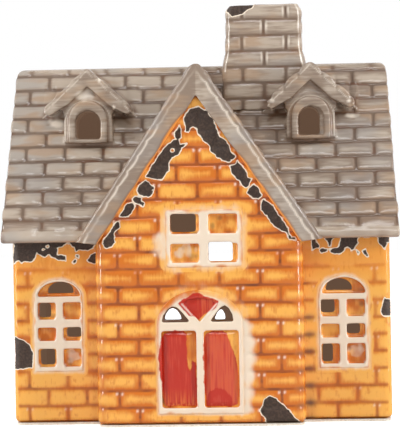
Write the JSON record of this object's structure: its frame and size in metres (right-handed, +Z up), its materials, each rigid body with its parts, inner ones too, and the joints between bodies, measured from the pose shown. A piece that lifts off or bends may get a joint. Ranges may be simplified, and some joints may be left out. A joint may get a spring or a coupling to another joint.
{
  "type": "tealight house",
  "caption": "Glazed ceramic cottage with brick walls and tiled roof that shelters a tealight, loaded through an arch at the back; its windows are pierced and the chimney is a flue.",
  "frame": {"origin": "middle of the footprint of the whole house, on the table", "axes": "+X to the right as seen from the door, +Y from the door to the back, +Z up"},
  "size_m": [0.1676, 0.0904, 0.179],
  "materials": {
    "bare_clay": "matte",
    "brick_glaze": "gloss",
    "cream_glaze": "gloss",
    "red_glaze": "gloss",
    "roof_glaze": "gloss",
    "cup_metal": "satin",
    "wax": "satin",
    "wick_cotton": "matte"
  },
  "bodies": {
    "house": {"base_slab": "bare_clay", "bay_front_wall": "brick_glaze", "bay_left_cheek": "brick_glaze", "bay_right_cheek": "brick_glaze", "left_front_wall": "brick_glaze", "right_front_wall": "brick_glaze", "left_side_wall": "brick_glaze", "right_side_wall": "brick_glaze", "back_wall": "brick_glaze", "left_window_frame": "cream_glaze", "right_window_frame": "cream_glaze", "gable_window_frame": "cream_glaze", "door_frame": "cream_glaze", "door_leaf_left": "red_glaze", "door_leaf_right": "red_glaze", "fanlight_panel": "red_glaze", "roof_front_left": "roof_glaze", "roof_front_right": "roof_glaze", "roof_back": "roof_glaze", "gable_roof_left": "roof_glaze", "gable_roof_right": "roof_glaze", "bargeboard_left": "roof_glaze", "bargeboard_right": "roof_glaze", "left_dormer": "roof_glaze", "left_dormer_roof": "roof_glaze", "left_dormer_trim": "roof_glaze", "right_dormer": "roof_glaze", "right_dormer_roof": "roof_glaze", "right_dormer_trim": "roof_glaze", "chimney_stack": "roof_glaze"},
    "tealight": {"tealight_cup": "cup_metal"},
    "candle": {"tealight_wax": "wax", "wick_sustainer": "cup_metal", "wick": "wick_cotton"}
  },
  "joints": [
    {"name": "tealight_slide", "type": "slide", "parent": "house", "child": "tealight", "axis": [0, 1, 0], "range_m": [0, 0.085]},
    {"name": "candle_lift", "type": "slide", "parent": "tealight", "child": "candle", "axis": [0, 0, 1], "range_m": [0, 0.018]}
  ]
}
